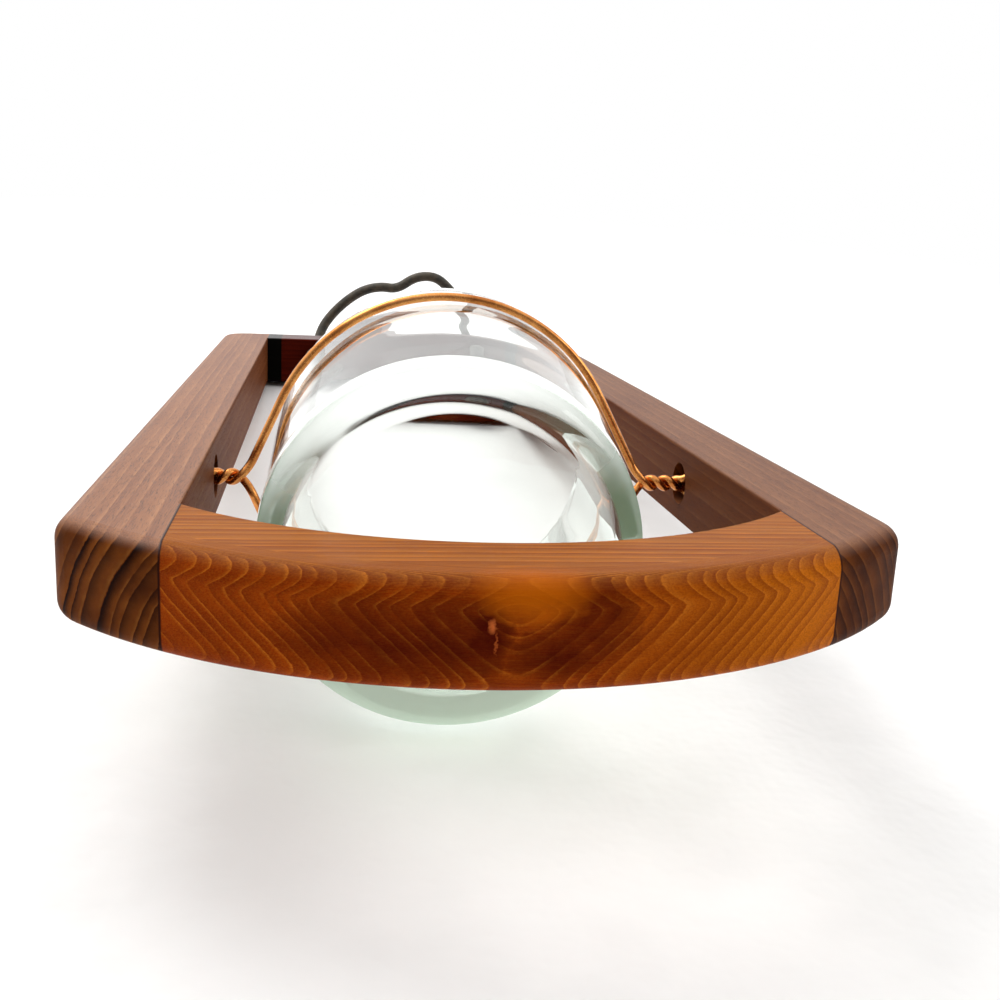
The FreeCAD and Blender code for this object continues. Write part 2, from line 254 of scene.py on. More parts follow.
# Oiled wood: the figure in its colour and as a slight relief, with a sheen on its upper side.
def woodShader(tree, colour, figure, up, roughness, relief, sheen):
    rough = mapRange(tree, figure["Fibre"], 0.0, 1.0, roughness - oil["polished"],
                     roughness + oil["dull"])
    hollows = blend2(tree, 0.8, figure["Pore"], 0.3, figure["Ring"])
    height = blend2(tree, 0.5, figure["Fibre"], -1.0, hollows)
    bump = put(tree, "Bump", {"Height": height, "Strength": relief,
                              "Distance": oil["grainDepth"] * mm}).outputs[0]
    begins, full = oil["lit"]
    gloss = math2(tree, "MULTIPLY", ramp(tree, up, (begins, 0.0), (full, 1.0)), sheen)
    shader = put(tree, "BsdfPrincipled", {
        "Base Color": colour, "Roughness": rough, "Normal": bump, "Specular IOR Level": oil["shine"],
        "Coat Weight": gloss, "Coat Roughness": oil["sheenRoughness"], "Coat Normal": bump})
    finishMaterial(tree, shader.outputs[0])


# The broad colour drift as a mask from 0 to 1.
def streakMask(tree, figure):
    return ramp(tree, figure["Streak"], (0.3, 0.0), (0.7, 1.0))


# The fibres as a mask from 0 to 1.
def fibreMask(tree, figure):
    return ramp(tree, figure["Fibre"], (0.35, 0.0), (0.7, 1.0))


# glue line between rails and foot bar, half the window's width from the middle
glue = {
    "fromMiddle": 57.5,
    "headward": -60.0,
    "core": 0.12,
    "halfWidth": 0.32,
    "sideways": 0.6,
    "colour": srgb(40, 14, 8)}


# The colour with the glue line in it, on the faces that don't look sideways.
def glueLine(tree, place, normal, colour):
    off = math2(tree, "ABSOLUTE", math2(tree, "SUBTRACT", math2(tree, "ABSOLUTE", place[0]),
                                        glue["fromMiddle"]))
    near = ramp(tree, off, (0.0, 1.0), (glue["core"], 0.9), (glue["halfWidth"], 0.0))
    front = math2(tree, "LESS_THAN", place[1], glue["headward"])
    flat = math2(tree, "LESS_THAN", math2(tree, "ABSOLUTE", normal[0]), glue["sideways"])
    shown = math2(tree, "MULTIPLY", front, flat)
    return mixColour(tree, math2(tree, "MULTIPLY", near, shown), colour, glue["colour"])


# rails: "pith" is the (X, Z) of the rings' centre, each rail's share of the dark tone is painted shade laid over
# the whole rail, and a stain is its strength and colour
rails = {
    "left": {"pith": (-33.0, -15.0), "seed": 0.0, "shadeShare": 0.0, "sheen": 0.48},
    "right": {"pith": (35.0, -17.0), "seed": 31.0, "shadeShare": 0.34, "sheen": 0.3},
    "spacing": 2.2,
    "waver": 0.13,
    "light": srgb(146, 94, 56),
    "dark": srgb(116, 66, 34),
    "ring": (0.55, srgb(84, 34, 14)),
    "edge": (0.4, srgb(190, 134, 88)),
    "fibre": (0.35, srgb(182, 120, 76)),
    "pore": (0.6, srgb(46, 18, 8)),
    # painted shade on the faces that look sideways, and how strong it is
    "inner": srgb(66, 20, 2),
    "innerStrength": 0.62,
    # the ends' colours: darker end grain together with painted shade, as the ends face away from the light
    "endGrainAndShadeLight": srgb(118, 62, 20),
    "endGrainAndShadeDark": srgb(80, 37, 10),
    "endRing": srgb(26, 6, 2),
    "endEdge": (0.35, srgb(160, 100, 46)),
    # painted shade colour for a rail that gets less light
    "railShade": srgb(48, 16, 5),
    "roughness": 0.45,
    "relief": 0.4}


# Brown wood with rings round a pith that runs along the rail. Its sideways faces get painted shade, and its ends
# are darker, partly as end grain and partly as painted shade.
def railWood(name):
    rail = rails[name]
    material, tree = newMaterial(name + "RailWood")
    space = use(tree, frameSpace, {})
    place = separate(tree, space["Place"])
    normal = separate(tree, space["Normal"])
    across = combine(tree, math2(tree, "SUBTRACT", place[0], rail["pith"][0]), 0.0,
                     math2(tree, "SUBTRACT", place[2], rail["pith"][1]))
    depth = put(tree, "VectorMath", {0: across}, operation="LENGTH").outputs["Value"]
    figure = use(tree, woodFigure, {"Depth": depth, "Place": space["Place"], "Seed": rail["seed"],
                                    "Spacing": rails["spacing"], "Waver": rails["waver"]})
    streak = streakMask(tree, figure)
    side = mixColour(tree, streak, rails["light"], rails["dark"])
    side = tint(tree, figure["Ring"], side, rails["ring"])
    side = tint(tree, figure["Edge"], side, rails["edge"])
    side = tint(tree, fibreMask(tree, figure), side, rails["fibre"])
    side = tint(tree, figure["Pore"], side, rails["pore"])
    # Painted shade: the faces that look sideways are darkened, as they get less light than the tops.
    sideways = math2(tree, "ABSOLUTE", normal[0])
    sideShadeMask = ramp(tree, sideways, (0.4, 0.0), (0.9, rails["innerStrength"]))
    side = mixColour(tree, sideShadeMask, side, rails["inner"])
    # On the ends: darker end grain, and painted shade of the ends that face away from the light.
    end = mixColour(tree, streak, rails["endGrainAndShadeLight"], rails["endGrainAndShadeDark"])
    end = mixColour(tree, math2(tree, "POWER", figure["Ring"], 1.3), end, rails["endRing"])
    end = tint(tree, figure["Edge"], end, rails["endEdge"])
    facing = ramp(tree, math2(tree, "ABSOLUTE", normal[1]), (0.3, 0.0), (0.6, 1.0))
    colour = mixColour(tree, facing, side, end)
    colour = glueLine(tree, place, normal, colour)
    # Painted shade over the whole rail: the right rail is darkened, as it gets less light.
    colour = mixColour(tree, rail["shadeShare"], colour, rails["railShade"])
    woodShader(tree, colour, figure, normal[2], rails["roughness"], rails["relief"], rail["sheen"])
    return material


# foot bar: places on its front are (X, Z), a shade is (centre, half size, strength), and each of
# "arms" and "tips" is the slope and the roundness of the layers about the knot
footBar = {
    "bowRadius": 103.2,
    "bowCentre": -9.9,
    "frontDepth": 8.0,
    "knot": (-2.0, 4.8),
    "arms": (0.78, 12.0),
    "tips": (0.86, 1.5),
    "hook": 0.8,
    "spacing": 2.3,
    "waver": 0.12,
    "seed": 7.0,
    "topLight": srgb(156, 96, 34),
    "topDark": srgb(130, 70, 17),
    "frontLight": srgb(158, 61, 3),
    "frontDark": srgb(128, 41, 2),
    # painted light: a paler orange for the right end of the front, where more light falls
    "frontLitRight": srgb(216, 120, 16),
    "ring": (0.62, srgb(98, 22, 3)),
    "edge": (0.6, srgb(206, 118, 34)),
    "fibre": (0.2, srgb(206, 120, 34)),
    "grit": srgb(92, 30, 2),
    "shade": (0.92, srgb(62, 2, 2)),
    "shades": (((-7.2, 0.5), (5.0, 6.5), 1.0), ((-12.0, 0.0), (10.0, 7.5), 0.68),
               ((10.5, 2.5), (8.0, 7.0), 0.66), ((4.0, -2.5), (9.0, 4.5), 0.72),
               ((-24.0, -1.0), (16.0, 8.0), 0.6)),
    "glow": (0.7, srgb(196, 98, 6)),
    "glowAt": ((0.5, 7.4), (10.5, 5.5)),
    "eye": srgb(196, 98, 46),
    "eyeAt": ((-5.4, 2.2), (0.75, 1.4)),
    "tail": (0.7, srgb(176, 84, 36)),
    "tailAt": ((-4.7, -0.6), (0.3, 2.2)),
    "roughness": 0.4,
    "relief": 0.35,
    "sheen": 0.08}


# An ellipse of shade, 1 at its centre and 0 at its rim, given by centre and half size.
def spot(tree, x, z, centre, half):
    u = math2(tree, "DIVIDE", math2(tree, "SUBTRACT", x, centre[0]), half[0])
    v = math2(tree, "DIVIDE", math2(tree, "SUBTRACT", z, centre[1]), half[1])
    reach = math2(tree, "ADD", math2(tree, "MULTIPLY", u, u), math2(tree, "MULTIPLY", v, v))
    return ramp(tree, reach, (0.0, 1.0), (1.0, 0.0))


# The square root of value value + roundness: a straight slope with a round foot.
def roundedSlope(tree, value, roundness):
    squared = math2(tree, "ADD", math2(tree, "MULTIPLY", value, value), roundness)
    return math2(tree, "SQRT", squared)


# The depth of the front's layers. With u and v from the knot it is the arms' rounded slope of u
# plus the tips' of v plus the hook times v above the knot, so that each line climbs outwards and
# hooks back near the top.
def knotLayers(tree, x, z):
    u = math2(tree, "SUBTRACT", x, footBar["knot"][0])
    v = math2(tree, "SUBTRACT", z, footBar["knot"][1])
    armSlope, armRound = footBar["arms"]
    tipSlope, tipRound = footBar["tips"]
    arms = roundedSlope(tree, u, armRound)
    tips = roundedSlope(tree, v, tipRound)
    above = math2(tree, "MAXIMUM", v, 0.0)
    return blend2(tree, 1.0, blend2(tree, armSlope, arms, tipSlope, tips), footBar["hook"], above)


# The dark shades round the knot, the glow above it, and its pale eye and tail.
def knotMarks(tree, colour, place, spread, nearFront):
    x, y, z = place[:3]
    u = blend2(tree, 1.0, x, 4.0, sway(tree, spread, 0.3, 2.0))
    v = blend2(tree, 1.0, z, 3.0, sway(tree, combine(tree, z, x, y), 0.3, 2.0))
    shade = None
    for centre, half, strength in footBar["shades"]:
        lobe = math2(tree, "MULTIPLY", spot(tree, u, v, centre, half), strength)
        shade = lobe if shade is None else math2(tree, "MAXIMUM", shade, lobe)
    drift = math2(tree, "ADD", noise(tree, spread, 0.16, 3.0), 0.5)
    shade = math2(tree, "MULTIPLY", math2(tree, "POWER", shade, 0.65), drift, clamp=True)
    colour = tint(tree, math2(tree, "MULTIPLY", shade, nearFront), colour, footBar["shade"])
    glow = math2(tree, "MULTIPLY", spot(tree, u, v, *footBar["glowAt"]), nearFront)
    colour = tint(tree, glow, colour, footBar["glow"])
    shaken = blend2(tree, 1.0, x, 1.4, noise(tree, spread, 1.1, 2.0))
    eye = math2(tree, "MULTIPLY", spot(tree, shaken, z, *footBar["eyeAt"]), nearFront)
    colour = mixColour(tree, eye, colour, footBar["eye"])
    tail = math2(tree, "MULTIPLY", spot(tree, shaken, z, *footBar["tailAt"]), nearFront)
    return tint(tree, tail, colour, footBar["tail"])


# Orange-red wood. Its layers show as straight lines on top and, on the bowed front, as chevrons
# that close round a dark knot left of the middle.
def footWood():
    material, tree = newMaterial("footWood")
    space = use(tree, frameSpace, {})
    place = separate(tree, space["Place"])
    normal = separate(tree, space["Normal"])
    x, y, z = place[:3]
    fromCentre = combine(tree, x, math2(tree, "SUBTRACT", y, footBar["bowCentre"]), 0.0)
    fromBow = put(tree, "VectorMath", {0: fromCentre}, operation="LENGTH").outputs["Value"]
    behind = math2(tree, "SUBTRACT", footBar["bowRadius"], fromBow)
    nearFront = ramp(tree, math2(tree, "DIVIDE", behind, footBar["frontDepth"]),
                     (0.0, 1.0), (0.3, 0.9), (0.9, 0.0))
    level = math2(tree, "MULTIPLY", math2(tree, "ADD", y, 100.0), 0.9)
    depth = mixFloat(tree, nearFront, level, knotLayers(tree, x, z))
    figure = use(tree, woodFigure, {"Depth": depth, "Place": combine(tree, y, x, z),
                                    "Spacing": footBar["spacing"], "Waver": footBar["waver"],
                                    "Seed": footBar["seed"]})
    streak = streakMask(tree, figure)
    top = mixColour(tree, streak, footBar["topLight"], footBar["topDark"])
    front = mixColour(tree, streak, footBar["frontLight"], footBar["frontDark"])
    # Painted light: the front grows paler and more orange towards its right end.
    rightward = mapRange(tree, x, 10.0, 50.0, 0.0, 0.8)
    front = mixColour(tree, rightward, front, footBar["frontLitRight"])
    colour = mixColour(tree, ramp(tree, normal[2], (0.5, 0.0), (0.96, 1.0)), front, top)
    colour = tint(tree, figure["Ring"], colour, footBar["ring"])
    colour = tint(tree, figure["Edge"], colour, footBar["edge"])
    colour = tint(tree, fibreMask(tree, figure), colour, footBar["fibre"])
    spread = combine(tree, x, y, math2(tree, "MULTIPLY", z, 1.4))
    grit = ramp(tree, noise(tree, spread, 2.4, 2.0, 0.75), (0.42, 0.0), (0.62, 0.32))
    colour = mixColour(tree, math2(tree, "MULTIPLY", grit, nearFront), colour, footBar["grit"])
    colour = knotMarks(tree, colour, place, spread, nearFront)
    colour = glueLine(tree, place, normal, colour)
    woodShader(tree, colour, figure, normal[2], footBar["roughness"], footBar["relief"],
               footBar["sheen"])
    return material


# straight-grained wood: the head bar, the strips in its corners and the dowels
headBar = {
    "light": srgb(100, 26, 12),
    "dark": srgb(50, 8, 3),
    "spacing": 1.8,
    "seed": 3.0,
    "roughness": 0.35}
spacers = {
    "light": srgb(14, 12, 10),
    "dark": srgb(4, 4, 3),
    "spacing": 1.2,
    "seed": 5.0,
    "roughness": 0.4}
dowels = {
    "light": srgb(206, 170, 120),
    "dark": srgb(170, 130, 84),
    "spacing": 1.5,
    "seed": 9.0,
    "roughness": 0.5}
straightGrain = {"waver": 0.4, "ring": 0.6, "pore": (0.4, srgb(20, 6, 4)), "relief": 0.3, "sheen": 0.6}


# Straight-grained wood with its fibres along X.
def plainWood(name, wood):
    material, tree = newMaterial(name)
    space = use(tree, frameSpace, {})
    x, y, z = separate(tree, space["Place"])[:3]
    figure = use(tree, woodFigure, {"Depth": blend2(tree, 0.8, z, 0.6, y),
                                    "Place": combine(tree, y, x, z), "Seed": wood["seed"],
                                    "Spacing": wood["spacing"], "Waver": straightGrain["waver"]})
    colour = mixColour(tree, figure["Streak"], wood["light"], wood["dark"])
    colour = tint(tree, figure["Ring"], colour, (straightGrain["ring"], wood["dark"]))
    colour = tint(tree, figure["Pore"], colour, straightGrain["pore"])
    up = separate(tree, space["Normal"])[2]
    woodShader(tree, colour, figure, up, wood["roughness"], straightGrain["relief"],
               straightGrain["sheen"])
    return material


# copper wire: "drift" and "marks" are how fine the darker drifts and the draw marks are
hoopWire = {
    "bright": srgb(230, 158, 90),
    "dull": srgb(158, 84, 34),
    "smooth": 0.16,
    "rough": 0.34,
    "drift": 160.0,
    "marks": 2600.0,
    "markStrength": 0.12,
    "markDepth": 0.05}


# Drawn copper, bright, with faint darker drifts and draw marks.
def copperMaterial():
    material, tree = newMaterial("copper")
    place = objectPlace(tree)
    drift = ramp(tree, noise(tree, place, hoopWire["drift"], 3.0), (0.35, 0.0), (0.75, 1.0))
    fine = noise(tree, place, hoopWire["marks"], 2.0)
    bump = put(tree, "Bump", {"Height": fine, "Strength": hoopWire["markStrength"],
                              "Distance": hoopWire["markDepth"] * mm})
    shader = put(tree, "BsdfPrincipled", {
        "Base Color": mixColour(tree, drift, hoopWire["bright"], hoopWire["dull"]),
        "Metallic": 1.0,
        "Roughness": mapRange(tree, fine, 0.0, 1.0, hoopWire["smooth"], hoopWire["rough"]),
        "Normal": bump.outputs[0]})
    finishMaterial(tree, shader.outputs[0])
    return material


# tumbler, in millimetres; heights are from the wire, less than nothing towards the base
tumbler = {
    "aside": -2.6,
    "base": -50.5,
    "rim": 27.0,
    "heelRadius": 40.8,
    "wireRadius": 42.1,
    "rimRadius": 42.6,
    "heel": 5.5,
    "lip": 1.6,
    "cavity": 37.6,
    "corner": 5.0,
    "floor": 10.5,
    "floorDome": 1.0,
    "pushUpRadius": 32.9,
    "pushUpDepth": 2.5,
    "mouldRing": (-41.0, 0.22, 1.1),  # height, stand and width
    "mouldBeyond": 38.6,  # the mould ring is on the outer wall, further out than this
    "waves": ((0.0016, 2, 19.0), (0.0010, 5, -11.0)),  # share of the radius, lobes, twist length
    "sides": 192,
    "step": 0.9,
    "tint": (0.98, 0.99, 0.98, 1),
    "index": 1.5,
    "waviness": (30.0, 0.22, 1.2),  # fineness, strength and depth
    "absorbs": (0.62, 0.74, 0.66, 1),
    "absorption": 26.0,
    "shadow": (0.955, 0.96, 0.955, 1),
    # the heel's painted bands: painted shade on its flanks, painted light underneath, and where they lie
    "flankPaintedShade": (0.21, 0.29, 0.20, 1),
    "undersidePaintedLight": (0.72, 0.81, 0.70, 1),
    "paintedBandBelow": (-44.2, -45.4),
    "flankFrom": (35.0, 35.7),
    "undersideFrom": (29.5, 31.5)}


# Points of an arc in the (radius, height) plane: centre + radius (cos, sin) of angles in degrees.
def arcPoints(centre, radius, start, end, count):
    angles = np.radians(np.linspace(start, end, count))
    return np.column_stack([centre[0] + radius * np.cos(angles), centre[1] + radius * np.sin(angles)])


# Points of a shallow dome from its rim at level in to its crown on the axis. It is a cap of a
# ball whose radius c is (radius radius + height height) / (2 height), so that at reach x it
# stands at level + height - c + sqrt(c c - x x).
def domePoints(radius, height, level, count):
    curve = (radius ** 2 + height ** 2) / (2 * height)
    reach = radius * np.linspace(1, 0, count + 1)
    return np.column_stack([reach, level + height - curve + np.sqrt(curve ** 2 - reach ** 2)])


# The tumbler's outline from the middle of its base round its lip to the middle of its cavity
# floor, as (radius, height from the wire), with its long straights cut into short steps.
def glassProfile():
    t = tumbler
    base, rim, heel, lip, corner = t["base"], t["rim"], t["heel"], t["lip"], t["corner"]
    floor = base + t["floor"]
    corners = np.vstack([
        domePoints(t["pushUpRadius"], t["pushUpDepth"], base, 14)[::-1],
        arcPoints((t["heelRadius"] - heel, base + heel), heel, -90, 0, 12),
        [(t["wireRadius"], 0.0)],
        arcPoints((t["rimRadius"] - lip, rim - lip), lip, 0, 180, 12),
        arcPoints((t["cavity"] - corner, floor + corner), corner, 0, -90, 10),
        domePoints(t["cavity"] - corner, t["floorDome"], floor, 10)[1:]])
    pieces = [corners[:1]]
    for before, after in zip(corners, corners[1:]):
        steps = max(1, math.ceil(math.dist(before, after) / t["step"]))
        pieces.append(np.linspace(before, after, steps + 1)[1:])
    return np.vstack(pieces)


def meshObject(name, points, faces, material):
    mesh = bpy.data.meshes.new(name)
    mesh.from_pydata(points.tolist(), [], faces)
    mesh.polygons.foreach_set("use_smooth", [True] * len(mesh.polygons))
    mesh.materials.append(material)
    mesh.update()
    obj = bpy.data.objects.new(name, mesh)
    bpy.context.scene.collection.objects.link(obj)
    return obj


# The four corners of every face on a grid of rows round a closed turn of sides.
def gridFaces(rows, sides, closed):
    row = np.arange(rows if closed else rows - 1)[:, None]
    side = np.arange(sides)[None, :]
    after = (row + 1) % rows
    beside = (side + 1) % sides
    corners = [row * sides + side, row * sides + beside, after * sides + beside, after * sides + side]
    return np.stack(corners, -1).reshape(-1, 4)


# The tumbler turned from its outline about its own axis. At turn a and height h each wave adds
# its share times sin(lobes a + h / length) of the radius, which leaves the wall slightly uneven,
# and a mould ring of stand s at height r adds s exp(-((h - r) / width)^2) to the outer wall.
def addGlass(material):
    profile = glassProfile()
    reach, height = profile[1:-1].T
    sides = tumbler["sides"]
    turn = np.linspace(0, 2 * np.pi, sides, endpoint=False)
    a, h = np.meshgrid(turn, height)
    uneven = 1
    for share, lobes, length in tumbler["waves"]:
        uneven = uneven + share * np.sin(lobes * a + h / length)
    ringHeight, stand, width = tumbler["mouldRing"]
    ridge = stand * np.exp(-((height - ringHeight) / width) ** 2) * (reach > tumbler["mouldBeyond"])
    radial = reach[:, None] * uneven + ridge[:, None]
    axis = np.array(glassAxis)
    upward = np.array((0.0, 0.0, 1.0))
    outward = np.outer(np.cos(turn), np.cross(axis, upward)) + np.outer(np.sin(turn), upward)
    shell = radial[:, :, None] * outward + height[:, None, None] * axis
    poles = np.outer(profile[[0, -1], 1], axis)
    centre = np.array(hinge) + (tumbler["aside"] * mm, 0, 0)
    points = centre + np.vstack([shell.reshape(-1, 3), poles]) * mm

    rows = len(height)
    step = np.arange(sides)
    beside = (step + 1) % sides
    pole = np.full(sides, rows * sides)
    last = (rows - 1) * sides
    faces = gridFaces(rows, sides, False)[:, ::-1].tolist()
    faces += np.column_stack([pole, step, beside]).tolist()
    faces += np.column_stack([pole + 1, last + beside, last + step]).tolist()
    vessel = meshObject("glassTumbler", points, faces, material)
    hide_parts("glass_vessel")
    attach(vessel, "glass")


# A painted band in the heel: a diffuse and translucent layer of the given colour that lights up from both sides.
def paintedHeelBand(tree, colour):
    through = put(tree, "BsdfTranslucent", {"Color": colour}).outputs[0]
    back = put(tree, "BsdfDiffuse", {"Color": colour}).outputs[0]
    return put(tree, "MixShader", {0: 0.5, 1: through, 2: back}).outputs[0]


# Where the heel gets its painted bands, the dark one on its flanks and the pale one underneath, from the height
# along the glass's axis, the reach from it, and how far up the place looks from it.
def paintedHeelMasks(tree, place):
    centre = hinge + Vector((tumbler["aside"] * mm, 0, 0))
    moved = put(tree, "VectorMath", {0: place, 1: centre}, operation="SUBTRACT").outputs[0]
    height = put(tree, "VectorMath", {0: moved, 1: glassAxis}, operation="DOT_PRODUCT").outputs["Value"]
    along = put(tree, "VectorMath", {0: glassAxis, "Scale": height}, operation="SCALE").outputs[0]
    outward = put(tree, "VectorMath", {0: moved, 1: along}, operation="SUBTRACT").outputs[0]
    reach = put(tree, "VectorMath", {0: outward}, operation="LENGTH").outputs["Value"]
    around = separate(tree, put(tree, "VectorMath", {0: outward}, operation="NORMALIZE").outputs[0])
    turned = mapRange(tree, blend2(tree, 1.0, around[2], -0.12, around[0]), -1.0, 1.0)

    def between(value, limits):
        return mapRange(tree, value, limits[0] * mm, limits[1] * mm)

    low = between(height, tumbler["paintedBandBelow"])
    flankPaintedShade = ramp(tree, turned, (0.14, 0.0), (0.3, 0.9), (0.66, 0.85), (0.84, 0.35), (0.97, 0.0))
    underPaintedLight = ramp(tree, turned, (0.12, 0.85), (0.3, 0.0))
    rounded = math2(tree, "MULTIPLY", low, between(reach, tumbler["flankFrom"]))
    wide = math2(tree, "MULTIPLY", low, between(reach, tumbler["undersideFrom"]))
    return math2(tree, "MULTIPLY", rounded, flankPaintedShade), math2(tree, "MULTIPLY", wide, underPaintedLight)


# Clear soda glass, greenish where light goes through much of it and slightly uneven. Its heel has painted shade in
# grey-green on its flanks, for darker surroundings seen through it, and painted pale light underneath, for light
# carried through it.
def glassMaterial():
    material, tree = newMaterial("vesselGlass")
    place = objectPlace(tree)
    fineness, strength, depth = tumbler["waviness"]
    bump = put(tree, "Bump", {"Height": noise(tree, place, fineness, 1.0), "Strength": strength,
                              "Distance": depth * mm})
    clear = put(tree, "BsdfPrincipled", {"Base Color": tumbler["tint"], "Roughness": 0.0,
                                         "IOR": tumbler["index"], "Transmission Weight": 1.0,
                                         "Normal": bump.outputs[0]}).outputs[0]
    flankPaintedShade, underPaintedLight = paintedHeelMasks(tree, place)
    body = put(tree, "MixShader", {0: flankPaintedShade, 1: clear, 2: paintedHeelBand(tree, tumbler["flankPaintedShade"])}).outputs[0]
    body = put(tree, "MixShader", {0: underPaintedLight, 1: body, 2: paintedHeelBand(tree, tumbler["undersidePaintedLight"])}).outputs[0]
    lit = put(tree, "BsdfTransparent", {"Color": tumbler["shadow"]}).outputs[0]
    ray = put(tree, "LightPath").outputs["Is Shadow Ray"]
    surface = put(tree, "MixShader", {0: ray, 1: body, 2: lit}).outputs[0]
    volume = put(tree, "VolumeAbsorption", {"Color": tumbler["absorbs"],
                                            "Density": tumbler["absorption"]}).outputs[0]
    finishMaterial(tree, surface, volume)
    return material


# lace, in millimetres; its route starts at the back of the head bar and is the solid's own
lace = {
    "diameter": 4.4,
    "halfSpacing": 36.0,
    "start": 8.0,
    "headBack": 261.0,
    "held": 7.6,
    "endTaper": 0.8,
    "knotTube": 2.05,
    "knotReach": (3.3, 1.25),
    "knotLength": 2.0,
    "knotTurn": 0.4,
    "light": srgb(96, 82, 62),
    "dark": srgb(44, 40, 30),
    "grain": 1500.0,
    "grainStrength": 0.6,
    "grainDepth": 0.2,
    "rubbed": 210.0,
    "route": [
        (-36.3, 15.9, 2.2),
        (-34.0, 20.7, 8.8),
        (-28.9, 22.8, 15.4),
        (-22.4, 23.2, 21.6),
        (-15.0, 23.2, 26.6),
        (-6.8, 23.0, 28.6),
        (0.8, 22.8, 27.6),
        (9.2, 22.8, 33.9),
        (18.4, 22.7, 34.5),
        (24.8, 22.7, 29.8),
        (29.7, 22.6, 23.4),
        (33.6, 22.2, 16.6),
        (35.8, 20.4, 9.0),
        (36.3, 15.9, 2.2)]}


# Dark waxed leather lace with fine grain and paler rubbed spots.
def leatherMaterial():
    material, tree = newMaterial("laceLeather")
    place = objectPlace(tree)
    grain = noise(tree, place, lace["grain"], 4.0, 0.7)
    worn = ramp(tree, noise(tree, place, lace["rubbed"], 3.0), (0.4, 0.0), (0.8, 1.0))
    bump = put(tree, "Bump", {"Height": grain, "Strength": lace["grainStrength"],
                              "Distance": lace["grainDepth"] * mm})
    shader = put(tree, "BsdfPrincipled", {
        "Base Color": mixColour(tree, worn, lace["dark"], lace["light"]),
        "Roughness": mapRange(tree, grain, 0.0, 1.0, 0.4, 0.75),
        "Normal": bump.outputs[0]})
    finishMaterial(tree, shader.outputs[0])
    return material


# A round tube along a path. Its first side is the reference direction less its share along the
# path, its second stands square to both, and its points are path + radius (cos, sin) on these.
def tubeMesh(name, path, radius, reference, material, closed=False):
    sides = 20
    if closed:
        way = np.roll(path, -1, 0) - np.roll(path, 1, 0)
    else:
        way = np.gradient(path, axis=0)
    way /= np.linalg.norm(way, axis=1)[:, None]
    first = reference - way * (way @ reference)[:, None]
    first /= np.linalg.norm(first, axis=1)[:, None]
    second = np.cross(way, first)
    turn = np.linspace(0, 2 * np.pi, sides, endpoint=False)[None, :, None]
    size = np.full(len(path), radius)
    if not closed:
        size[[0, -1]] *= lace["endTaper"]
    circle = np.cos(turn) * first[:, None, :] + np.sin(turn) * second[:, None, :]
    points = path[:, None, :] + size[:, None, None] * circle
    faces = gridFaces(len(path), sides, closed).tolist()
    if not closed:
        faces.append(list(range(sides - 1, -1, -1)))
        faces.append(list(range((len(path) - 1) * sides, len(path) * sides)))
    return meshObject(name, points.reshape(-1, 3), faces, material)


# A closed trefoil drawn up round the lace's axis. With t from 0 to a full turn the reach is its
# mean plus its swing times cos 3t, the turn round the axis is 2t from the knot's own turn, and
# the place along the axis is the knot's length times sin 3t.
def overhandKnot(centre, axis, side):
    across = np.array((1.0, 0.0, 0.0))
    upward = np.cross(axis, across)
    t = np.linspace(0, 2 * np.pi, 120, endpoint=False)
    mean, swing = lace["knotReach"]
    reach = (mean + swing * np.cos(3 * t)) * mm
    turn = side * 2 * t + lace["knotTurn"]
    flat = np.outer(reach * np.cos(turn), across) + np.outer(reach * np.sin(turn), upward)
    return np.array(centre) + flat + np.outer(lace["knotLength"] * mm * np.sin(3 * t), axis)


# The length of a curve object's own line, without its bevel: the sum of its steps.
def splineLength(curve):
    bare = curve.data.copy()
    bare.bevel_depth = 0
    probe = bpy.data.objects.new("probe", bare)
    mesh = bpy.data.meshes.new_from_object(probe)
    points = np.empty((len(mesh.vertices), 3))
    mesh.vertices.foreach_get("co", points.ravel())
    bpy.data.objects.remove(probe)
    bpy.data.curves.remove(bare)
    bpy.data.meshes.remove(mesh)
    return float(np.linalg.norm(np.diff(points, axis=0), axis=1).sum())


# The lace as one smooth spline through its route, between its two exits.
def addLoop(root, out, exits, material):
    starts = [place + out * (lace["start"] * mm) for place in exits]
    points = [exits[0], starts[0]]
    points += [root + Vector(place) * mm for place in lace["route"]]
    points += [starts[1], exits[1]]
    data = bpy.data.curves.new("laceLoop", "CURVE")
    data.dimensions = "3D"
    data.bevel_depth = lace["diameter"] * mm / 2
    data.bevel_resolution = 6
    data.use_fill_caps = True
    data.resolution_u = 12
    spline = data.splines.new("NURBS")
    spline.points.add(len(points) - 1)
    for target, place in zip(spline.points, points):
        target.co = (*place, 1)
    spline.order_u = 3
    spline.use_endpoint_u = True
    loop = bpy.data.objects.new("laceLoop", data)
    data.materials.append(material)
    bpy.context.scene.collection.objects.link(loop)
    return loop


